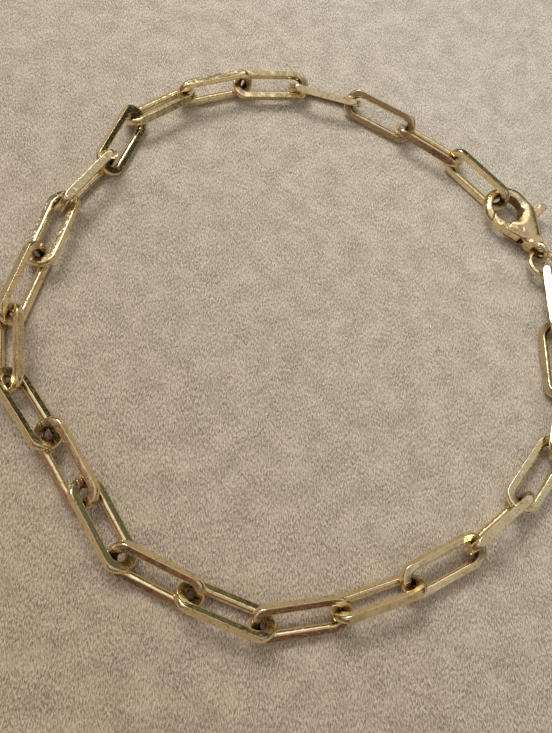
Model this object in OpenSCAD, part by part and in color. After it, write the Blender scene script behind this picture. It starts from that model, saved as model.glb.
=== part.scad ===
// Link bracelet of long flat-cut links, closed by a hook clasp with a sprung lever.
// It lies on a flat surface as a whole closed loop, each link leaning as it fell.
// Millimetres, +Z up. The origin is the centre of the loop, on the surface.

/* [Link] */
// Outer length of one link
link_len = 9; // [8:0.1:10]
// Thickness of the round wire that a link is bent from
wire_d = 1; // [0.9:0.05:1.1]
// How much wider the slot inside a link is than its wire
wire_play = 0.65; // [0.6:0.05:0.9]
// Thickness of a link once both faces are cut flat
link_t = 0.76; // [0.66:0.02:0.8]
// Depth cut off the outside of each long side
side_cut = 0.225; // [0.15:0.025:0.25]

/* [Jump ring] */
// Outer diameter of the jump ring
ring_d = 4.1; // [3.9:0.1:4.5]
// Thickness of its wire
ring_wire = 0.7; // [0.6:0.05:0.75]
// Height of the middle of the ring above the surface
ring_z = 1.31; // [1.25:0.01:1.35]
// How far it tips down towards the clasp, in degrees
ring_tip = 7; // [5:0.5:8]

/* [Clasp body] */
// Whole length, from the far side of the eye to the front of the hook
clasp_len = 10.1; // [9.8:0.1:10.8]
// Width of the round head
head_w = 5.7; // [5.5:0.1:6]
// Diameter of the round opening inside the hook
opening_d = 3.4; // [3.2:0.1:3.6]
// How far the opening is set off the middle line, towards the gate
opening_off = 0.25; // [0.1:0.05:0.35]
// How far the slope of the opening's edge is set forward, towards the hook's bar
bevel_ahead = 0.5; // [0.3:0.05:0.6]
// Height above the middle where the opening's edge starts to slope outwards
bevel_from = 0.4; // [0.3:0.05:0.5]
// Thickness over the lever's pin, where the body is fullest
clasp_t = 1.9; // [1.8:0.1:2.2]
// Thickness of the bar at the front of the hook
hook_t = 1.1; // [1:0.05:1.2]
// Drop of the domed faces from the middle to the widest edge
crown_drop = 0.35; // [0.2:0.05:0.4]
// Width of the neck where it runs out over the eye
neck_w = 1.1; // [1:0.02:1.2]
// How far ahead of the eye's middle the neck's round end is centred
neck_ahead = 0.75; // [0.7:0.05:0.9]
// Outer diameter of the upright eye
eye_d = 2.4; // [2.3:0.1:2.6]
// Thickness of the eye's round wire
eye_wire = 0.6; // [0.5:0.05:0.65]
// Rise of the clasp from its eye to its hook, in degrees
clasp_rise = 3; // [2:0.25:4]

/* [Clasp lever] */
// Thickness of the lever plate
lever_t = 0.9; // [0.8:0.05:1]
// Thickness of the pad at the lever's front, which closes the mouth
pad_t = 1.3; // [1.1:0.05:1.4]
// Diameter of the pin that the lever turns on
pin_d = 0.7; // [0.6:0.05:0.8]
// How far the middle of the pin lies behind the opening
pin_behind = 1.2; // [1.1:0.05:1.3]
// How far the middle of the pin lies inside the body's side, on the gate's side
pin_inside = 0.72; // [0.7:0.02:0.8]
// Metal round the pin in the lever's boss
boss_wall = 0.45; // [0.35:0.05:0.5]
// Width of the arm that ends in the thumb nub
arm_w = 0.9; // [0.8:0.05:1]
// Diameter of the thumb nub
nub_d = 1; // [0.9:0.05:1.2]
// Height of the thumb nub
nub_h = 1.2; // [1:0.05:1.4]
// How far the middle of the nub stands out from the spine
nub_out = 1.55; // [1.3:0.05:1.8]

/* [Clearances] */
// Gap between the lever and the walls that it moves between
lever_gap = 0.08; // [0.06:0.01:0.1]
// Radial gap between the lever's bore and its pin
pin_gap = 0.04; // [0.02:0.01:0.05]
// Radial gap between the pin and the holes in the clasp body
pin_seat = 0.01; // [0.01:0.005:0.02]
// Room behind the lever's boss for its arm to swing into
swing_room = 0.5; // [0.4:0.05:0.6]

/* [Hidden] */
$fn = 64;
gold = [0.85, 0.7, 0.42];

// How the chain lies, a row for each link in turn, then the jump ring and the clasp.
// Columns: heading of its step and swing off that heading, in degrees, lean about its
// own length, in degrees with the inner rail up, and slack before it, in wire thicknesses.
HEADING = 0;
SWING = 1;
LEAN = 2;
SLACK = 3;
LIE = [
    [137, -3, -75, 0.42],
    [142, 6, 30, 0.25],
    [159, -6, -55, 0.1],
    [163, 7, 45, 0.1],
    [190, -2, -15, 0.45],
    [200, 3, -85, 0.4],
    [218, 0, 30, 0.1],
    [252, -2, -50, 0.15],
    [235, 3, -105, 0.55],
    [253, 4, 15, 0.5],
    [256, 0, -60, 0.25],
    [275, 3, 40, 0.25],
    [311, -5, -40, 0.35],
    [306, -3, 30, 1.1],
    [304, -2, -35, 0.9],
    [333, 2, 40, 0.25],
    [337, 2, -40, 0.95],
    [370, -2, 35, 0.15],
    [378, 0, -55, 0.1],
    [389, -3, 20, 0.15],
    [399, -1, -90, 0.2],
    [411, 0, -10, 0.3],
    [434, -2, 60, 0.62],
    [446, 1, -50, 0.35],
    [448, 0, 55, 0.16],
    [452, 0, 0, 0.39],
    [484, 0, 0, 0.18]
];
// Height at which neighbours hold a link that lies nearly flat
link_held = 1.4 * wire_d;

pieces = len(LIE);
link_count = pieces - 2;
ring_row = link_count;
clasp_row = link_count + 1;

// The link: centre line of its round ends, half its straight length, outer width
link_end_r = (wire_play + 2 * wire_d) / 2;
link_straight = link_len / 2 - wire_d / 2 - link_end_r;
link_w = 2 * (link_end_r + wire_d / 2 - side_cut);

// The clasp lies along +X from the middle of its eye, with its lever's gate at +Y
head_r = head_w / 2;
neck_r = neck_w / 2;
eye_r = eye_d / 2;
eye_hole = eye_d - 2 * eye_wire;
opening_r = opening_d / 2;
head_x = clasp_len - eye_r - head_r;
neck_x = neck_ahead;
// How far the neck stays back from the eye's own hole
neck_clear = 0.12;
opening_at = [head_x, opening_off];
hook_r = (opening_r + head_r) / 2;
taper = asin((head_r - neck_r) / (head_x - neck_x));

pivot_x = head_x - opening_r - pin_behind;
pivot = [pivot_x, half_width(pivot_x) - pin_inside / cos(taper)];
boss_r = pin_d / 2 + boss_wall;
// Radii of the long side curve and of the crown across, from their drops
side_drop = (clasp_t - hook_t) / 2;
side_run = head_x + hook_r - pivot.x;
side_r = (side_run * side_run / side_drop + side_drop) / 2;
crown_r = (head_r * head_r / crown_drop + crown_drop) / 2;

// The seam where the gate meets the hook's tip: its middle and its outward direction
seam_turn = 90;
seam_slant = 34;
seam_mid = on_head(hook_r + opening_off / 2, seam_turn);
seam_dir = [-sin(seam_slant), cos(seam_slant)];
// How far the cuts of the mouth and slot run past the metal: outwards, into the opening
cut_over = 1;
cut_into = 0.2;
seam_reach = (head_r - opening_r) / 2 + cut_over;
// The back of the mouth, by the turns of its inner and its outer end round the opening
mouth_back = [161, 131];
mouth_in = on_opening(opening_r - cut_into, mouth_back[0]);
mouth_out = on_head(head_r + cut_over, mouth_back[1]);

slot_t = lever_t + 2 * lever_gap;
slot_back = pivot.x - boss_r - swing_room;
slot_over = head_r + cut_over;
// The slot's front end, by the turns of its corners from the opening's back to its mouth
slot_turns = [178, 140, 120];
// The gate's root: its turn round the opening, then its corners as seen from the pin
gate_turn = 165;
gate_root = [[0.3, -0.6], [-0.6, 0.3], [-0.6, 1.4]];

// How far ahead of the pin the arm's nub and the thick pad's back lie
nub_ahead = 1;
pad_ahead = 1.15;
nub_x = pivot.x + nub_ahead;
nub_at = [nub_x, -half_width(nub_x) - nub_out];
arm_dir = (nub_at - pivot) / norm(nub_at - pivot);
arm_across = [-arm_dir.y, arm_dir.x];
// The slot's front wall runs beside the arm, from this far past the pin
slot_front = pivot + (arm_w / 2 + lever_gap) * arm_across;
slot_shelf = 1.3;
pad_back = pivot.x + pad_ahead;
// How much shorter the pin is than the body is thick
pin_short = 0.1;

function link_name(i) = str("link_", i < 10 ? "0" : "", i);
function on_head(r, turn) = [head_x + r * cos(turn), r * sin(turn)];
function on_opening(r, turn) = opening_at + r * [cos(turn), sin(turn)];

// Half the width of the tapered body at a distance along it
function half_width(x) = (head_r - (head_x - x) * sin(taper)) / cos(taper);

// Length of a piece between the two places where its neighbours pull on it
function inner_len(i) =
    i == clasp_row ? head_x + opening_r + eye_hole / 2 :
    i == ring_row ? ring_d - 2 * ring_wire : link_len - 2 * wire_d;
function slack_between(i) = wire_d * (LIE[i][SLACK] + LIE[(i + 1) % pieces][SLACK]) / 2;
function step_of(i) = (inner_len(i) - slack_between(i))
    * [cos(LIE[i][HEADING]), sin(LIE[i][HEADING])];

// Places where the pieces pull on each other, walked from the hook all the way round,
// then closed by sharing out what is left over
walked = [for (p = [0, 0], i = 0; i <= pieces; p = i < pieces ? p + step_of(i) : p, i = i + 1) p];
closed = [for (i = [0:pieces]) walked[i] - walked[pieces] * i / pieces];
function middle(i) = (closed[i] + closed[i + 1]) / 2;
function turn_of(i) = LIE[i][HEADING] + LIE[i][SWING];
function height_of(i) = max(link_held,
    abs(sin(LIE[i][LEAN])) * link_w / 2 + abs(cos(LIE[i][LEAN])) * link_t / 2);

// How far a link reaches from its middle in a level direction, over its round ends
function link_reach(i, dir) =
    let(
        along = turn_of(i) - dir,
        d = [abs(cos(along)), abs(sin(along) * cos(LIE[i][LEAN])), abs(sin(along) * sin(LIE[i][LEAN]))]
    )
    max([
        for (bend = [0:5:90], round = [0:5:90])
        let(
            r = link_end_r + wire_d / 2 * cos(round),
            p = [
                link_straight + r * cos(bend),
                min(r * sin(bend), link_w / 2),
                min(wire_d / 2 * sin(round), link_t / 2)
            ]
        )
        d * p
    ]);
function reach(i, dir) = i == ring_row ? ring_d / 2 : link_reach(i, dir);

// The plan box of the whole loop; links and ring reach furthest on every side
function far_side(axis, way) = max([
    for (i = [0:ring_row]) way * middle(i)[axis] + reach(i, 90 * axis)
]);
loop_centre = [for (axis = [0, 1]) (far_side(axis, 1) - far_side(axis, -1)) / 2];

module link_wire() {
    for (side = [-1, 1]) {
        translate([side * link_straight, 0, 0])
            rotate([0, 0, -90 * side])
                rotate_extrude(angle = 180)
                    translate([link_end_r, 0])
                        circle(d = wire_d);
        translate([0, side * link_end_r, 0])
            rotate([0, 90, 0])
                cylinder(d = wire_d, h = 2 * link_straight, center = true);
    }
}

// A bent wire loop with both faces and both long sides cut flat
module link(i) {
    row = i - 1;
    at = middle(row) - loop_centre;
    color(gold)
        translate([at.x, at.y, height_of(row)])
            rotate([0, 0, turn_of(row)])
                rotate([LIE[row][LEAN], 0, 0])
                    intersection() {
                        link_wire();
                        cube([link_len + 1, link_w, link_t], center = true);
                    }
}

module jump_ring() {
    at = middle(ring_row) - loop_centre;
    color(gold)
        translate([at.x, at.y, ring_z])
            rotate([0, 0, turn_of(ring_row)])
                rotate([0, ring_tip, 0])
                    rotate_extrude()
                        translate([(ring_d - ring_wire) / 2, 0])
                            circle(d = ring_wire);
}

// Carries the clasp's own axes to where it lies, standing on the rim of its eye
module at_clasp() {
    at = middle(clasp_row) - loop_centre;
    eye_to_middle = (head_x + opening_r - eye_hole / 2) / 2;
    translate([at.x, at.y, eye_r])
        rotate([0, 0, turn_of(clasp_row)])
            translate([-eye_to_middle, 0, 0])
                rotate([0, -clasp_rise, 0])
                    children();
}

// The clasp's outline: a round head that tapers along its tangents to the neck
module teardrop(inset = 0) {
    across = [sin(taper), cos(taper)];
    head_edge = (head_r - inset) * across;
    neck_edge = (neck_r - inset) * across;
    translate([head_x, 0])
        circle(r = head_r - inset);
    translate([neck_x, 0])
        circle(r = neck_r - inset);
    polygon([
        [head_x - head_edge.x, head_edge.y],
        [neck_x - neck_edge.x, neck_edge.y],
        [neck_x - neck_edge.x, -neck_edge.y],
        [head_x - head_edge.x, -head_edge.y]
    ]);
}

module slab(t) {
    linear_extrude(t, center = true)
        children();
}

// Two large cylinders that meet as a lens, fullest under the given place
module lens(r, t, turn, length) {
    intersection_for(way = [-1, 1])
        translate([0, 0, way * (r - t / 2)])
            rotate(turn)
                cylinder(r = r, h = length, center = true, $fn = 360);
}

module mouth_plan() {
    polygon([
        seam_mid + seam_reach * seam_dir,
        seam_mid - seam_reach * seam_dir,
        mouth_in,
        mouth_out
    ]);
}

module slot_plan() {
    polygon([
        [slot_back, -slot_over],
        slot_front + 2 * slot_over * arm_dir,
        slot_front + slot_shelf * arm_dir,
        on_opening(opening_r - cut_into, slot_turns[0]),
        on_opening(opening_r / 2, slot_turns[1]),
        on_head(slot_over, slot_turns[2]),
        [slot_back, slot_over]
    ]);
}

module clasp_body() {
    color(gold)
        at_clasp() {
            difference() {
                intersection() {
                    slab(clasp_t + 1)
                        teardrop();
                    translate([pivot.x, 0, 0])
                        lens(side_r, clasp_t, [90, 0, 0], head_w + 1);
                    lens(crown_r, clasp_t, [0, 90, 0], 3 * clasp_len);
                }
                translate(opening_at)
                    cylinder(d = opening_d, h = clasp_t + 2, center = true);
                for (way = [0, 1])
                    mirror([0, 0, way])
                        translate([head_x + bevel_ahead, opening_off, bevel_from])
                            cylinder(
                                r1 = opening_r - bevel_ahead,
                                r2 = opening_r - bevel_ahead + clasp_t / 2,
                                h = clasp_t / 2
                            );
                slab(clasp_t + 2)
                    mouth_plan();
                slab(slot_t)
                    slot_plan();
                translate(pivot)
                    cylinder(d = pin_d + 2 * pin_seat, h = clasp_t + 2, center = true);
                rotate([90, 0, 0])
                    cylinder(d = eye_hole + 2 * neck_clear, h = head_w, center = true);
            }
            rotate([90, 0, 0])
                rotate_extrude()
                    translate([eye_r - eye_wire / 2, 0])
                        circle(d = eye_wire);
        }
}

// A plain round pin through both cheeks, a little shorter than the body is thick
module clasp_pin() {
    color(gold)
        at_clasp()
            translate(pivot)
                cylinder(d = pin_d, h = clasp_t - pin_short, center = true);
}

module gate_plan() {
    seam = seam_mid - lever_gap * [seam_dir.y, -seam_dir.x];
    difference() {
        intersection() {
            teardrop(inset = lever_gap);
            union() {
                polygon([
                    seam + seam_reach * seam_dir,
                    seam - seam_reach * seam_dir,
                    on_opening(opening_r - cut_into, gate_turn),
                    for (corner = gate_root) pivot + corner
                ]);
                translate(pivot)
                    circle(r = boss_r);
            }
        }
        translate(opening_at)
            circle(r = opening_r + lever_gap / 2);
    }
}

module arm_plan() {
    across = arm_w / 2 * arm_across;
    polygon([pivot + across, pivot - across, nub_at - across, nub_at + across]);
}

module clasp_lever() {
    color(gold)
        at_clasp()
            difference() {
                union() {
                    slab(lever_t) {
                        gate_plan();
                        arm_plan();
                    }
                    slab(pad_t)
                        intersection() {
                            gate_plan();
                            translate([pad_back, opening_r])
                                square(clasp_len);
                        }
                    translate(nub_at)
                        cylinder(d = nub_d, h = nub_h, center = true);
                }
                translate(pivot)
                    cylinder(d = pin_d + 2 * pin_gap, h = clasp_t, center = true);
            }
}

for (i = [1:link_count])
    link(i);
jump_ring();
clasp_body();
clasp_pin();
clasp_lever();
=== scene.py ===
import math
import bmesh
import bpy
import numpy as np
from mathutils import Euler, Matrix, Vector


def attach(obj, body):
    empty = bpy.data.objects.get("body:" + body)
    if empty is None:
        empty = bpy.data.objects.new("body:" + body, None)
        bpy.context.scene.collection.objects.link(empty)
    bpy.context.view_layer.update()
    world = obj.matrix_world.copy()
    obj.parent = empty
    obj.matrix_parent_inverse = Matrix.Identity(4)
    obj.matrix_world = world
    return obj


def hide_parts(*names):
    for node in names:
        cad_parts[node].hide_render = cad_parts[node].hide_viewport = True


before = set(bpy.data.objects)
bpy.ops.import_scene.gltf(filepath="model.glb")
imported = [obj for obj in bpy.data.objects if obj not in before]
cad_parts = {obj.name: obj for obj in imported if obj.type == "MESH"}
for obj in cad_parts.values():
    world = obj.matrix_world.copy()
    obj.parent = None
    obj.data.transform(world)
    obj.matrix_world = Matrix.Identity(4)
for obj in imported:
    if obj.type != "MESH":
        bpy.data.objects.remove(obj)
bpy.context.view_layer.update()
MM = 0.001

# Links
# Each link is a length of round gold wire, bent to a long oval and soldered shut. Both
# faces and both long sides are then cut flat and polished. The links hang in each other.
LINK_LENGTH = 9.0 * MM
LINK_WIDTH = 3.2 * MM
LINK_THICK = 0.76 * MM
LINK_WIRE = 1.0 * MM
LINK_SLOT = 1.65 * MM
CUT_EDGE = 0.1 * MM
LINK_BEND_STEPS = 90
LINK_WIRE_STEPS = 72
BRIGHT_GOLD = (0.91, 0.77, 0.47)
WORN_GOLD = (0.78, 0.64, 0.36)
PATTERN_HEIGHT = 1 * MM
# Painted shade: a dark brown painted into the gold round the middle of each end's bend, where the
# links meet
PAINTED_SHADE_BROWN = (0.16, 0.11, 0.06)
PAINTED_SHADE_AT = 3.3 * MM
PAINTED_SHADE_FULL = 0.6 * MM
PAINTED_SHADE_GONE = 1.15 * MM
PAINTED_SHADE_MOST = 0.85


def tree_socket(tree, name, kind, way="INPUT", value=None):
    socket = tree.interface.new_socket(name=name, in_out=way, socket_type="NodeSocket" + kind)
    if value is not None:
        socket.default_value = value


def maths(tree, operation, *values):
    step = tree.nodes.new("ShaderNodeMath")
    step.operation = operation
    for place, value in enumerate(values):
        if isinstance(value, (int, float)):
            step.inputs[place].default_value = value
        else:
            tree.links.new(value, step.inputs[place])
    return step.outputs[0]


def cut_link_tree():
    """Bends round wire to a long oval, cuts it flat and lays it in its place."""
    tree = bpy.data.node_groups.new("cut link", "GeometryNodeTree")
    tree_socket(tree, "Link", "Geometry", "OUTPUT")
    for name in ("Length", "Slot", "Wire", "Width", "Thickness", "Edge"):
        tree_socket(tree, name, "Float")
    tree_socket(tree, "Bend Steps", "Int")
    tree_socket(tree, "Wire Steps", "Int")
    tree_socket(tree, "Place", "Vector")
    tree_socket(tree, "Turn", "Rotation")
    tree_socket(tree, "Metal", "Material")
    join = tree.links.new
    given = tree.nodes.new("NodeGroupInput").outputs

    # The bent centre line: a circle drawn apart along its length
    bend = maths(tree, "MULTIPLY", maths(tree, "ADD", given["Slot"], given["Wire"]), 0.5)
    whole = maths(tree, "MULTIPLY", maths(tree, "SUBTRACT", given["Length"], given["Wire"]), 0.5)
    straight = maths(tree, "SUBTRACT", whole, bend)
    circle = tree.nodes.new("GeometryNodeCurvePrimitiveCircle")
    join(given["Bend Steps"], circle.inputs["Resolution"])
    join(bend, circle.inputs["Radius"])
    here = tree.nodes.new("GeometryNodeInputPosition").outputs[0]
    apart = tree.nodes.new("ShaderNodeSeparateXYZ")
    join(here, apart.inputs[0])
    slide = tree.nodes.new("ShaderNodeCombineXYZ")
    half = maths(tree, "SIGN", apart.outputs["X"])
    join(maths(tree, "MULTIPLY", half, straight), slide.inputs["X"])
    oval = tree.nodes.new("GeometryNodeSetPosition")
    join(circle.outputs["Curve"], oval.inputs["Geometry"])
    join(slide.outputs[0], oval.inputs["Offset"])

    # The round wire swept along it
    section = tree.nodes.new("GeometryNodeCurvePrimitiveCircle")
    join(given["Wire Steps"], section.inputs["Resolution"])
    join(maths(tree, "MULTIPLY", given["Wire"], 0.5), section.inputs["Radius"])
    sweep = tree.nodes.new("GeometryNodeCurveToMesh")
    join(oval.outputs["Geometry"], sweep.inputs["Curve"])
    join(section.outputs["Curve"], sweep.inputs["Profile Curve"])

    # The flat cuts on both faces and both long sides, with a softened edge
    spot = tree.nodes.new("ShaderNodeSeparateXYZ")
    join(here, spot.inputs[0])
    flat = tree.nodes.new("ShaderNodeCombineXYZ")
    join(spot.outputs["X"], flat.inputs["X"])
    for axis, size in (("Y", "Width"), ("Z", "Thickness")):
        limit = maths(tree, "MULTIPLY", given[size], 0.5)
        depth = maths(tree, "ABSOLUTE", spot.outputs[axis])
        side = maths(tree, "SIGN", spot.outputs[axis])
        cut = maths(tree, "SMOOTH_MIN", depth, limit, given["Edge"])
        join(maths(tree, "MULTIPLY", cut, side), flat.inputs[axis])
    trim = tree.nodes.new("GeometryNodeSetPosition")
    join(sweep.outputs["Mesh"], trim.inputs["Geometry"])
    join(flat.outputs[0], trim.inputs["Position"])

    # Its place in the link is kept for the polishing lines, before it goes to the bracelet
    keep = tree.nodes.new("GeometryNodeStoreNamedAttribute")
    keep.data_type = "FLOAT_VECTOR"
    keep.domain = "POINT"
    keep.inputs["Name"].default_value = "grain_place"
    join(trim.outputs["Geometry"], keep.inputs["Geometry"])
    join(here, keep.inputs["Value"])
    lay = tree.nodes.new("GeometryNodeTransform")
    join(keep.outputs["Geometry"], lay.inputs["Geometry"])
    join(given["Place"], lay.inputs["Translation"])
    join(given["Turn"], lay.inputs["Rotation"])
    smooth = tree.nodes.new("GeometryNodeSetShadeSmooth")
    join(lay.outputs["Geometry"], smooth.inputs["Geometry"])
    real = tree.nodes.new("GeometryNodeRealizeInstances")
    join(smooth.outputs["Geometry"], real.inputs["Geometry"])
    metal = tree.nodes.new("GeometryNodeSetMaterial")
    join(real.outputs["Geometry"], metal.inputs["Geometry"])
    join(given["Metal"], metal.inputs["Material"])
    join(metal.outputs["Geometry"], tree.nodes.new("NodeGroupOutput").inputs["Link"])
    return tree


def lie_of(node):
    """The middle and the turn of a solid, from its volume: X along it, Z across its thickness."""
    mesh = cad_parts[node].data
    mesh.calc_loop_triangles()
    points = np.array([v.co for v in mesh.vertices])
    corners = points[np.array([t.vertices for t in mesh.loop_triangles])]
    volume = np.linalg.det(corners) / 6
    middle = (corners.sum(axis=1) / 4 * volume[:, None]).sum(axis=0) / volume.sum()
    corners = corners - middle
    volume = np.linalg.det(corners) / 6
    sums = corners.sum(axis=1)
    moments = sum(
        w / 20 * (np.outer(s, s) + sum(np.outer(c, c) for c in cs))
        for w, s, cs in zip(volume, sums, corners)
    )
    axes = np.linalg.eigh(moments)[1][:, ::-1].copy()
    for column in (0, 1):
        axes[:, column] *= np.sign(axes[np.argmax(abs(axes[:, column])), column])
    axes[:, 2] = np.cross(axes[:, 0], axes[:, 1])
    return Vector(middle), Matrix(axes.tolist())


def grow(name, tree, **given):
    """Runs a tree on a bare object and keeps the result as a plain mesh."""
    seed = bpy.data.objects.new(name + "_tree", bpy.data.meshes.new(name + "_tree"))
    bpy.context.scene.collection.objects.link(seed)
    modifier = seed.modifiers.new("tree", "NODES")
    modifier.node_group = tree
    for item in tree.interface.items_tree:
        if item.in_out == "INPUT":
            modifier[item.identifier] = given[item.name.replace(" ", "_")]
    bpy.context.view_layer.update()
    grown = seed.evaluated_get(bpy.context.evaluated_depsgraph_get())
    mesh = bpy.data.meshes.new_from_object(grown)
    mesh.name = name
    piece = bpy.data.objects.new(name, mesh)
    bpy.context.scene.collection.objects.link(piece)
    bpy.data.objects.remove(seed)
    return piece


def noise_of(tree, place, scale, detail, rough=0.5, warp=0.0):
    cloud = tree.nodes.new("ShaderNodeTexNoise")
    tree.links.new(place, cloud.inputs["Vector"])
    cloud.inputs["Scale"].default_value = scale
    cloud.inputs["Detail"].default_value = detail
    cloud.inputs["Roughness"].default_value = rough
    cloud.inputs["Distortion"].default_value = warp
    return cloud.outputs["Fac"]


def ranged(tree, value, source, target=(0, 1), easing="LINEAR"):
    """A value carried from one range to another, and kept inside it."""
    ramp = tree.nodes.new("ShaderNodeMapRange")
    ramp.interpolation_type = easing
    tree.links.new(value, ramp.inputs["Value"])
    for name, number in zip(("From Min", "From Max", "To Min", "To Max"), (*source, *target)):
        ramp.inputs[name].default_value = number
    return ramp.outputs[0]


def blended(tree, factor, first, second, way="MIX"):
    """One colour passing into another, or multiplied by it; each is a tuple or a socket."""
    mix = tree.nodes.new("ShaderNodeMix")
    mix.data_type = "RGBA"
    mix.blend_type = way
    sockets = (mix.inputs["Factor"], mix.inputs[6], mix.inputs[7])
    for socket, value in zip(sockets, (factor, first, second)):
        if isinstance(value, tuple):
            socket.default_value = (*value, 1)
        elif isinstance(value, (int, float)):
            socket.default_value = value
        else:
            tree.links.new(value, socket)
    return mix.outputs[2]


def bumped(tree, height, strength, distance):
    bump = tree.nodes.new("ShaderNodeBump")
    bump.inputs["Strength"].default_value = strength
    bump.inputs["Distance"].default_value = distance
    tree.links.new(height, bump.inputs["Height"])
    return bump.outputs["Normal"]


def worn_and_shaded_metal_group():
    """Hand-polished metal: shallow waves from the buffing wheel, fine lines, haze and tone, and
    painted shade where a mask asks for it.
    """
    group = bpy.data.node_groups.new("worn and shaded metal", "ShaderNodeTree")
    tree_socket(group, "Place", "Vector")
    tree_socket(group, "Metal Colour", "Color")
    tree_socket(group, "Aged Colour", "Color")
    tree_socket(group, "Haze", "Float", value=0.1)
    tree_socket(group, "Wave", "Float", value=1.0)
    tree_socket(group, "Line", "Float", value=1.0)
    tree_socket(group, "Grime", "Float", value=0.0)
    tree_socket(group, "Colour", "Color", "OUTPUT")
    tree_socket(group, "Roughness", "Float", "OUTPUT")
    tree_socket(group, "Height", "Float", "OUTPUT")
    given = group.nodes.new("NodeGroupInput").outputs
    done = group.nodes.new("NodeGroupOutput").inputs

    def pattern(scale, detail, stretch=1):
        """Noise of so many spots a metre, drawn out along the piece by a stretch below 1."""
        place = group.nodes.new("ShaderNodeVectorMath")
        place.operation = "MULTIPLY"
        group.links.new(given["Place"], place.inputs[0])
        place.inputs[1].default_value = (stretch, 1, 1)
        return noise_of(group, place.outputs[0], scale, detail)

    waves = pattern(420, 2)
    ripples = pattern(1700, 2, stretch=0.5)
    lines = pattern(6200, 3, stretch=0.05)
    nicks = pattern(3600, 5)
    smear = pattern(900, 4)

    # Bright metal, aged in smears, with darker pits, and painted brown shade where the mask asks
    # for it
    ageing = ranged(group, smear, (0.4, 0.68), (0, 0.8))
    aged = blended(group, ageing, given["Metal Colour"], given["Aged Colour"])
    pit_tone = ranged(group, pattern(3400, 4), (0.56, 0.74), (1.0, 0.45))
    grey = group.nodes.new("ShaderNodeCombineColor")
    for channel in range(3):
        group.links.new(pit_tone, grey.inputs[channel])
    pitted = blended(group, 1.0, aged, grey.outputs[0], "MULTIPLY")
    # Painted shade: the colour goes over to dark brown as the shade input rises
    group.links.new(blended(group, given["Grime"], pitted, PAINTED_SHADE_BROWN), done["Colour"])

    rough = maths(group, "ADD", given["Haze"], ranged(group, smear, (0.35, 0.7), (-0.03, 0.07)))
    rough = maths(group, "ADD", rough, ranged(group, nicks, (0.52, 0.7), (0, 0.3)))
    group.links.new(maths(group, "MAXIMUM", rough, 0.04), done["Roughness"])

    height = maths(group, "ADD", waves, maths(group, "MULTIPLY", ripples, 0.22))
    height = maths(group, "MULTIPLY", height, given["Wave"])
    height = maths(group, "ADD", height, maths(group, "MULTIPLY", lines, given["Line"]))
    group.links.new(height, done["Height"])
    return group


worn_and_shaded_metal = worn_and_shaded_metal_group()


def gold(name, metal, aged, haze, wave, line, attribute=None, bends=None, painted_shade_attribute=None):
    """A gold that reads its pattern from a kept attribute, or else from Object coordinates."""
    material = bpy.data.materials.new(name)
    material.use_nodes = True
    tree = material.node_tree
    shader = tree.nodes["Principled BSDF"]
    shader.inputs["Metallic"].default_value = 1.0
    wear = tree.nodes.new("ShaderNodeGroup")
    wear.node_tree = worn_and_shaded_metal
    wear.inputs["Metal Colour"].default_value = (*metal, 1)
    wear.inputs["Aged Colour"].default_value = (*aged, 1)
    wear.inputs["Haze"].default_value = haze
    wear.inputs["Wave"].default_value = wave
    wear.inputs["Line"].default_value = line
    if attribute:
        kept = tree.nodes.new("ShaderNodeAttribute")
        kept.attribute_name = attribute
        place = kept.outputs["Vector"]
    else:
        place = tree.nodes.new("ShaderNodeTexCoord").outputs["Object"]
    tree.links.new(place, wear.inputs["Place"])
    if bends:
        # Painted shade where the neighbours meet, round the middle of each end's bend
        apart = tree.nodes.new("ShaderNodeSeparateXYZ")
        tree.links.new(place, apart.inputs[0])
        along = maths(tree, "SUBTRACT", maths(tree, "ABSOLUTE", apart.outputs["X"]), bends)
        along_squared = maths(tree, "POWER", along, 2)
        across_squared = maths(tree, "POWER", apart.outputs["Y"], 2)
        away = maths(tree, "SQRT", maths(tree, "ADD", along_squared, across_squared))
        painted_shade = ranged(tree, away, (PAINTED_SHADE_FULL, PAINTED_SHADE_GONE), (PAINTED_SHADE_MOST, 0))
        tree.links.new(painted_shade, wear.inputs["Grime"])
    # Painted shade, read from a mask kept on the mesh
    if painted_shade_attribute:
        shade_node = tree.nodes.new("ShaderNodeAttribute")
        shade_node.attribute_name = painted_shade_attribute
        tree.links.new(shade_node.outputs["Fac"], wear.inputs["Grime"])
    tree.links.new(wear.outputs["Colour"], shader.inputs["Base Color"])
    tree.links.new(wear.outputs["Roughness"], shader.inputs["Roughness"])
    relief = bumped(tree, wear.outputs["Height"], 1.0, PATTERN_HEIGHT)
    tree.links.new(relief, shader.inputs["Normal"])
    return material


link_gold = gold("cut link gold", BRIGHT_GOLD, WORN_GOLD, haze=0.09, wave=0.11, line=0.008,
                 attribute="grain_place", bends=PAINTED_SHADE_AT)
cut_link = cut_link_tree()

link_nodes = sorted(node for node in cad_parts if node.startswith("link_"))
for number, node in enumerate(link_nodes, start=1):
    middle, turn = lie_of(node)
    link = grow(f"cut_link_{number:02d}", cut_link, Length=LINK_LENGTH, Slot=LINK_SLOT,
                Wire=LINK_WIRE, Width=LINK_WIDTH, Thickness=LINK_THICK, Edge=CUT_EDGE,
                Bend_Steps=LINK_BEND_STEPS, Wire_Steps=LINK_WIRE_STEPS,
                Place=middle, Turn=turn.to_euler(), Metal=link_gold)
    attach(link, "bracelet")
    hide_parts(node)

# Jump ring
# One ring of thin round gold wire, closed and soldered. It joins the last link to the eye
# of the clasp.
RING_ACROSS = 4.1 * MM
RING_WIRE = 0.7 * MM
RING_BEND_STEPS = 94
RING_WIRE_STEPS = 48

ring_gold = gold("jump ring gold", BRIGHT_GOLD, WORN_GOLD, haze=0.12, wave=0.04, line=0.002,
                 attribute="grain_place")

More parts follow.
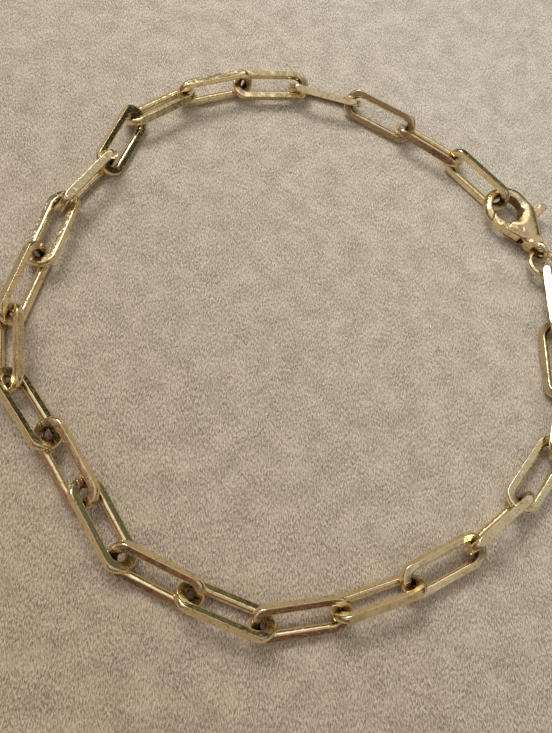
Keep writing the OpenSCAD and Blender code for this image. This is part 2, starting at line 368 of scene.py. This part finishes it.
# The link's tree makes it too: with no straight, and too wide and thick to be cut flat
middle, turn = lie_of("jump_ring")
ring = grow("wire_jump_ring", cut_link, Length=RING_ACROSS, Slot=RING_ACROSS - 2 * RING_WIRE,
            Wire=RING_WIRE, Width=2 * RING_ACROSS, Thickness=2 * RING_WIRE, Edge=CUT_EDGE,
            Bend_Steps=RING_BEND_STEPS, Wire_Steps=RING_WIRE_STEPS,
            Place=middle, Turn=turn.to_euler(), Metal=ring_gold)
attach(ring, "bracelet")
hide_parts("jump_ring")

# Clasp body
# One casting of gold: a domed drop with a round opening, a slot for the lever and an upright
# eye of round wire. Its edges are rounded by tumbling and its faces buffed bright. Sizes are
# in millimetres on its own axes: X from the eye to the head, Y towards the gate, Z up.
CLASP_EYE = (26.957, 9.501, 1.2)
CLASP_HEADING = 124
CLASP_RISE = 3
HEAD_AT = 6.05
HEAD_RADIUS = 2.85
NECK_AT = 0.75
NECK_RADIUS = 0.55
SLOT_HALF = 0.53
GATE_SHOULDER = 1.3
GATE_EDGE_KEPT = 0.05
FAR_SHOULDER = 0.7
FAR_EDGE_KEPT = 0.35
EYE_BLEND = (1.3, 1.9)
CHEEKS_ALONG = (1.6, 2.2, 4.7, 5.4)
CROWN_ALONG = (1.6, 2.6, 4.6, 5.6)
CROWN = 0.36
OPENING_RADIUS = 1.7
OPENING_OFF = 0.25
RIM_SPAN = (HEAD_AT - 1.2, HEAD_AT + 0.4)
RIM_SLOPES = (1.15, 0.35)
RIM_KEPT = (0.48, 0.65)
FLANK_AT = 3.8
FLANK_LENGTH = 1.5
FLANK_GAIN = 0.13
CAST_GRAIN = 0.05
CAST_ROUNDS = 26
CAST_GOLD = (0.93, 0.75, 0.44)
CAST_WORN_GOLD = (0.83, 0.64, 0.36)

clasp_turn = Euler((0, math.radians(-CLASP_RISE), math.radians(CLASP_HEADING))).to_matrix()
# The cast gold is browned by painted shade in the hollows that each casting's mask marks
clasp_gold = gold("cast clasp gold", CAST_GOLD, CAST_WORN_GOLD, haze=0.13, wave=0.05, line=0.002,
                  painted_shade_attribute="painted_hollow_shade")


def merged_copy(*nodes):
    """One mesh, in millimetres, of some CAD solids with their doubles merged."""
    shell = bmesh.new()
    for node in nodes:
        shell.from_mesh(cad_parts[node].data)
    bmesh.ops.scale(shell, vec=Vector((1, 1, 1)) / MM, verts=shell.verts)
    bmesh.ops.remove_doubles(shell, verts=shell.verts, dist=1e-5)
    mesh = bpy.data.meshes.new(nodes[0] + "_copy")
    shell.to_mesh(mesh)
    shell.free()
    return mesh


def eased(points, edges, rounds, softness):
    """Rubs the corners off a skin, more where it is soft."""
    count = np.bincount(edges.ravel(), minlength=len(points))[:, None]
    for _ in range(rounds):
        near = np.empty_like(points)
        for axis in range(3):
            near[:, axis] = (
                np.bincount(edges[:, 0], points[edges[:, 1], axis], len(points))
                + np.bincount(edges[:, 1], points[edges[:, 0], axis], len(points))
            )
        points = points + 0.5 * softness * (near / count - points)
    return points


def cast(name, mesh, grain, form, softness, painted_shade_of, rounds):
    """Skins a copy with small even faces, forms it on the clasp's own axes and rubs it smooth."""
    piece = bpy.data.objects.new(name, mesh)
    bpy.context.scene.collection.objects.link(piece)
    skin = piece.modifiers.new("skin", "REMESH")
    skin.mode = "VOXEL"
    skin.voxel_size = grain
    skin.use_smooth_shade = True
    done = piece.evaluated_get(bpy.context.evaluated_depsgraph_get())
    finished = bpy.data.meshes.new_from_object(done)
    finished.name = name
    piece.modifiers.clear()
    piece.data = finished
    turn = np.array(clasp_turn)
    points = np.array([v.co for v in finished.vertices])
    edges = np.array([e.vertices for e in finished.edges])
    own = form((points - CLASP_EYE) @ turn)
    own = eased(own, edges, rounds, softness(own)[:, None])
    points = own @ turn.T + CLASP_EYE
    finished.vertices.foreach_set("co", (points * MM).ravel())
    # Painted shade: a mask, strongest in the hollows, that browns the gold there
    painted_hollow_shade = finished.attributes.new("painted_hollow_shade", "FLOAT", "POINT")
    painted_hollow_shade.data.foreach_set("value", painted_shade_of(own))
    finished.update()
    finished.materials.clear()
    finished.materials.append(clasp_gold)
    return piece


def inside_drop(x, y):
    """How far a place lies inside the drop's outline: a round head tapering to the neck."""
    taper = math.asin((HEAD_RADIUS - NECK_RADIUS) / (HEAD_AT - NECK_AT))
    flank = HEAD_RADIUS - np.abs(y) * math.cos(taper) - (HEAD_AT - x) * math.sin(taper)
    head = HEAD_RADIUS - np.hypot(x - HEAD_AT, y)
    beyond = (x - HEAD_AT) * math.cos(taper) + np.abs(y) * math.sin(taper) > 0
    return np.where(beyond, head, flank)


def past_opening(x, y):
    """How far a place lies outside the wall of the round opening."""
    return np.hypot(x - HEAD_AT, y - OPENING_OFF) - OPENING_RADIUS


def rolled(depth, reach, kept):
    """How much of its height an edge keeps as it rolls over, like the rim of a dish."""
    return kept + (1 - kept) * np.sqrt(1 - (1 - np.clip(depth / reach, 0, 1)) ** 2)


def sloped(depth, reach, kept):
    """How much of its height a rim keeps as it slopes in, like the mouth of a horn."""
    return kept + (1 - kept) * np.sin(np.pi / 2 * np.clip(depth / reach, 0, 1))


def body_form(own):
    """Rolls the edges over, domes the face, slopes the rim in and fills out the far flank."""
    x, y, z = own.T.copy()
    shoulder = np.interp(y, [-1, 1], [FAR_SHOULDER, GATE_SHOULDER])
    edge_kept = np.interp(y, [-1, 1], [FAR_EDGE_KEPT, GATE_EDGE_KEPT])
    roll = rolled(inside_drop(x, y), shoulder, edge_kept)
    roll *= 1 + CROWN * np.interp(x, CROWN_ALONG, [0, 1, 1, 0])
    slope = np.interp(x, RIM_SPAN, RIM_SLOPES)
    roll *= sloped(past_opening(x, y), slope, np.interp(x, RIM_SPAN, RIM_KEPT))
    roll = 1 + (roll - 1) * np.interp(x, EYE_BLEND, [0, 1])
    firm = SLOT_HALF * np.interp(x, CHEEKS_ALONG, [0, 1, 1, 0])
    z = np.sign(z) * (np.minimum(np.abs(z), firm) + np.maximum(np.abs(z) - firm, 0) * roll)
    fuller = 1 + FLANK_GAIN * np.exp(-((x - FLANK_AT) / FLANK_LENGTH) ** 2)
    y = np.where(y < 0, y * fuller, y)
    return np.column_stack([x, y, z])


def body_softness(own):
    """The hook is rubbed round, the cheeks a little, the fine eye least."""
    return np.interp(own[:, 0], [1.2, 1.7, 2.3, 4.6, 5.6], [0.2, 0.5, 0.35, 0.35, 1.0])


def body_painted_shade(own):
    """Painted shade inside the opening, the slot and the eye."""
    x, y, z = own.T
    opening = np.interp(past_opening(x, y), [0.0, 0.14], [0.85, 0])
    slot = np.interp(np.abs(z), [SLOT_HALF, SLOT_HALF + 0.1], [0.75, 0])
    slot *= np.interp(inside_drop(x, y), [0.1, 0.35], [0, 1])
    slot *= np.interp(x, [1.7, 1.9, 4.6, 4.9], [0, 1, 1, 0])
    eye = np.interp(np.hypot(x, z), [0.75, 0.95], [0.9, 0])
    return np.maximum(np.maximum(opening, slot), eye)


body = cast("cast_clasp_body", merged_copy("clasp_body", "clasp_pin"), CAST_GRAIN,
            body_form, body_softness, body_painted_shade, CAST_ROUNDS)
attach(body, "bracelet")
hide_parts("clasp_body")

# Clasp pin
# A plain gold pin, pressed through both cheeks of the body and filed off with low domes. The
# buffed face of the body closes over its ends.
PIN_RADIUS = 0.35 * MM
PIN_LENGTH = 1.86 * MM
PIN_DOME = 0.06 * MM
PIN_SIDES = 64
PIN_DOME_STEP = 15


def turned(name, outline, sides, place, turn):
    """A closed body of revolution about X, from (distance along, radius) pairs."""
    shell = bmesh.new()
    spokes = [2 * math.pi * side / sides for side in range(sides)]
    rings = []
    for along, radius in outline:
        if radius == 0:
            ring = [(along, 0, 0)]
        else:
            ring = [(along, radius * math.cos(a), radius * math.sin(a)) for a in spokes]
        rings.append([shell.verts.new(point) for point in ring])
    for near, far in zip(rings, rings[1:]):
        for side in range(sides):
            after = (side + 1) % sides
            quad = [near[side % len(near)], near[after % len(near)],
                    far[after % len(far)], far[side % len(far)]]
            shell.faces.new(list(dict.fromkeys(quad))).smooth = True
    bmesh.ops.recalc_face_normals(shell, faces=shell.faces)
    mesh = bpy.data.meshes.new(name)
    shell.to_mesh(mesh)
    shell.free()
    mesh.transform(Matrix.Translation(place) @ turn.to_4x4())
    piece = bpy.data.objects.new(name, mesh)
    bpy.context.scene.collection.objects.link(piece)
    return piece


def pin_outline():
    half = PIN_LENGTH / 2
    shoulder = half - PIN_DOME
    steps = [math.radians(step) for step in range(PIN_DOME_STEP, 91, PIN_DOME_STEP)]
    dome = [(shoulder + PIN_DOME * math.cos(a), PIN_RADIUS * math.sin(a)) for a in steps]
    end = [(half, 0.0)] + dome
    return [(-x, r) for x, r in end] + end[::-1]


middle, turn = lie_of("clasp_pin")
pin = turned("clasp_hinge_pin", pin_outline(), PIN_SIDES, middle, turn)
pin.data.materials.append(ring_gold)
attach(pin, "bracelet")
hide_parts("clasp_pin")

# Clasp lever
# A small gold casting that turns on the pin: the gate that closes the mouth, and the arm with
# its thumb nub. A spring inside the body holds it shut.
LEVER_GRAIN = 0.04
LEVER_ROUNDS = 24
GATE_ROLL_KEPT = 0.15
GATE_BLEND = (4.7, 5.4)
NUB_BLEND = (1.6, 2.4)


def lever_form(own):
    """The gate's outer edge is rolled over to meet the hook's."""
    x, y, z = own.T.copy()
    roll = rolled(inside_drop(x, y), GATE_SHOULDER, GATE_ROLL_KEPT)
    z = z * (1 + (roll - 1) * np.interp(x, GATE_BLEND, [0, 1]))
    return np.column_stack([x, y, z])


def lever_softness(own):
    """The thumb nub, out beside the body, is rubbed most."""
    return np.interp(-own[:, 1], NUB_BLEND, [0.3, 1.0])


def lever_painted_shade(own):
    """Painted shade on the gate's inner edge, along the opening."""
    return np.interp(past_opening(own[:, 0], own[:, 1]), [0.1, 0.25], [0.7, 0])


lever = cast("cast_clasp_lever", merged_copy("clasp_lever"), LEVER_GRAIN,
             lever_form, lever_softness, lever_painted_shade, LEVER_ROUNDS)
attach(lever, "lever")
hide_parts("clasp_lever")

# Floor
# The pale suede cloth that the bracelet lies on. Its short soft nap is brushed two ways, and
# painted light makes it paler and cooler towards the window, at the upper right.
FLOOR_HALF = 0.6
FIBRES_A_METRE = (9500, 3300, 1)
NAP_TURNS = (25, -50)
NAP_SHARE = 0.87
NAP_DEPTH = 0.2 * MM
NAP_SHADE = (0.31, 0.262, 0.20, 1)
NAP_LIGHT = (0.89, 0.80, 0.67, 1)
# Painted light across the floor: its span, the darker near tint and the paler, cooler far tint
PAINTED_LIGHT_SPAN = 60 * MM
NEAR_SHADE_TINT = (0.815, 0.755, 0.68)
FAR_LIGHT_TINT = (1.13, 1.19, 1.225)

floor_mesh = bpy.data.meshes.new("suede_floor")
corner_signs = ((-1, -1), (1, -1), (1, 1), (-1, 1))
floor_corners = [(FLOOR_HALF * x, FLOOR_HALF * y, 0) for x, y in corner_signs]
floor_mesh.from_pydata(floor_corners, [], [(0, 1, 2, 3)])
floor = bpy.data.objects.new("suede_floor", floor_mesh)
bpy.context.scene.collection.objects.link(floor)
suede = bpy.data.materials.new("pale suede")
suede.use_nodes = True
cloth = suede.node_tree
on_floor = cloth.nodes.new("ShaderNodeTexCoord").outputs["Object"]


def fibres(angle):
    """Short fibres brushed one way."""
    laid = cloth.nodes.new("ShaderNodeMapping")
    laid.inputs["Rotation"].default_value = (0, 0, math.radians(angle))
    laid.inputs["Scale"].default_value = FIBRES_A_METRE
    cloth.links.new(on_floor, laid.inputs["Vector"])
    return noise_of(cloth, laid.outputs["Vector"], 1.0, 3, rough=0.7, warp=0.4)


brushed = cloth.nodes.new("ShaderNodeMix")
strokes = ranged(cloth, noise_of(cloth, on_floor, 260, 3), (0.42, 0.58))
cloth.links.new(strokes, brushed.inputs["Factor"])
cloth.links.new(fibres(NAP_TURNS[0]), brushed.inputs[2])
cloth.links.new(fibres(NAP_TURNS[1]), brushed.inputs[3])
nap = brushed.outputs[0]
drift = maths(cloth, "MULTIPLY", noise_of(cloth, on_floor, 420, 4), 1 - NAP_SHARE)
pattern = maths(cloth, "ADD", maths(cloth, "MULTIPLY", nap, NAP_SHARE), drift)
tone = cloth.nodes.new("ShaderNodeValToRGB")
tone.color_ramp.elements[0].position = 0.415
tone.color_ramp.elements[0].color = NAP_SHADE
tone.color_ramp.elements[1].position = 0.585
tone.color_ramp.elements[1].color = NAP_LIGHT
cloth.links.new(pattern, tone.inputs["Fac"])

# Painted light: the cloth's colour runs from darker near the viewer to paler and cooler towards
# the window
spot = cloth.nodes.new("ShaderNodeSeparateXYZ")
cloth.links.new(on_floor, spot.inputs[0])
across, away = (maths(cloth, "MULTIPLY", spot.outputs[axis], 1 / PAINTED_LIGHT_SPAN) for axis in "XY")
painted_light = ranged(cloth, maths(cloth, "ADD", across, away), (-0.9, 0.9))
painted_light_tint = blended(cloth, painted_light, NEAR_SHADE_TINT, FAR_LIGHT_TINT)
painted_light_colour = blended(cloth, 1.0, tone.outputs["Color"], painted_light_tint, "MULTIPLY")
suede_skin = cloth.nodes["Principled BSDF"].inputs
suede_skin["Roughness"].default_value = 0.95
suede_skin["Specular IOR Level"].default_value = 0.15
suede_skin["Sheen Weight"].default_value = 0.3
cloth.links.new(painted_light_colour, suede_skin["Base Color"])
cloth.links.new(bumped(cloth, nap, 0.6, NAP_DEPTH), suede_skin["Normal"])
floor_mesh.materials.append(suede)

# Light
# A dim room, dark and warm towards the viewer's side and dark green beyond, under a pale
# ceiling, with one soft window half-way up the far side that throws the shadows forward.
WARM_WALL = (0.13, 0.07, 0.055)
GREEN_WALL = (0.07, 0.076, 0.05)
CLUTTER_SHADE = (0.45, 0.45, 0.45)
CLUTTER_LIGHT = (1.9, 1.9, 1.85)
CEILING_SIDE = (0.55, 0.51, 0.50)
CEILING_MIDDLE = (0.38, 0.345, 0.32)

# Pale things that stand about the room: azimuth, elevation and reach in degrees, and colour
PALE_THINGS = (
    (148, 12, 22, (0.34, 0.30, 0.25)),
    (-44, 16, 22, (0.36, 0.31, 0.24)),
    (34, 0, 14, (0.32, 0.28, 0.22)),
    (-122, 27, 14, (0.22, 0.16, 0.13)),
    (190, 52, 24, (0.75, 0.70, 0.65)),
    (76, 44, 16, (1.5, 1.42, 1.3)),
    (110, 79, 15, (1.6, 1.5, 1.38)),
)
PALE_CORE = 0.4
WINDOW_TOWARDS = (118, 49)
WINDOW_AWAY = 0.45
WINDOW_SIZE = (0.24, 0.14)
WINDOW_WATTS = 1.0
WINDOW_COLOUR = (1.0, 0.96, 0.90)

world = bpy.data.worlds.new("room")
bpy.context.scene.world = world
world.use_nodes = True
surroundings = world.node_tree
toward = surroundings.nodes.new("ShaderNodeTexCoord").outputs["Generated"]
part = surroundings.nodes.new("ShaderNodeSeparateXYZ")
surroundings.links.new(toward, part.inputs[0])


def fading(value, low, high):
    return ranged(surroundings, value, (low, high), easing="SMOOTHSTEP")


def direction(azimuth, elevation):
    a, e = math.radians(azimuth), math.radians(elevation)
    return (math.cos(e) * math.cos(a), math.cos(e) * math.sin(a), math.sin(e))


far_side = maths(surroundings, "ADD", maths(surroundings, "MULTIPLY", part.outputs["X"], 0.6),
                 maths(surroundings, "MULTIPLY", part.outputs["Y"], 0.8))
walls = blended(surroundings, fading(far_side, -0.5, 0.4), WARM_WALL, GREEN_WALL)
clutter = fading(noise_of(surroundings, toward, 5.0, 3), 0.4, 0.62)
cluttered = blended(surroundings, clutter, CLUTTER_SHADE, CLUTTER_LIGHT)
walls = blended(surroundings, 1.0, walls, cluttered, "MULTIPLY")
ceiling = blended(surroundings, fading(part.outputs["Z"], 0.8, 1.0), CEILING_SIDE, CEILING_MIDDLE)
room = blended(surroundings, fading(part.outputs["Z"], 0.40, 0.72), walls, ceiling)

for azimuth, elevation, reach, colour in PALE_THINGS:
    facing = surroundings.nodes.new("ShaderNodeVectorMath")
    facing.operation = "DOT_PRODUCT"
    surroundings.links.new(toward, facing.inputs[0])
    facing.inputs[1].default_value = direction(azimuth, elevation)
    edge = math.cos(math.radians(reach))
    core = math.cos(math.radians(PALE_CORE * reach))
    room = blended(surroundings, fading(facing.outputs["Value"], edge, core), room, colour)
background = surroundings.nodes["Background"]
surroundings.links.new(room, background.inputs["Color"])
background.inputs["Strength"].default_value = 1.0

pane = bpy.data.lights.new("window", "AREA")
pane.shape = "RECTANGLE"
pane.size, pane.size_y = WINDOW_SIZE
pane.energy = WINDOW_WATTS
pane.color = WINDOW_COLOUR
window = bpy.data.objects.new("window", pane)
window.location = Vector(direction(*WINDOW_TOWARDS)) * WINDOW_AWAY
window.rotation_euler = window.location.to_track_quat("Z", "Y").to_euler()
bpy.context.scene.collection.objects.link(window)
bpy.context.scene.view_settings.view_transform = "Standard"

# Camera
# It looks down on the bracelet at the photograph's slant.
CAMERA_AT = (-11.94, -29.36, 58.52)
CAMERA_TURN = (21.748, -9.035, 0.071)

view = bpy.data.cameras.new("view")
view.sensor_width = 36
view.lens = 31.92
view.clip_start = 0.001
camera = bpy.data.objects.new("view", view)
camera.location = Vector(CAMERA_AT) * MM
camera.rotation_euler = Euler([math.radians(angle) for angle in CAMERA_TURN])
bpy.context.scene.collection.objects.link(camera)
bpy.context.scene.camera = camera
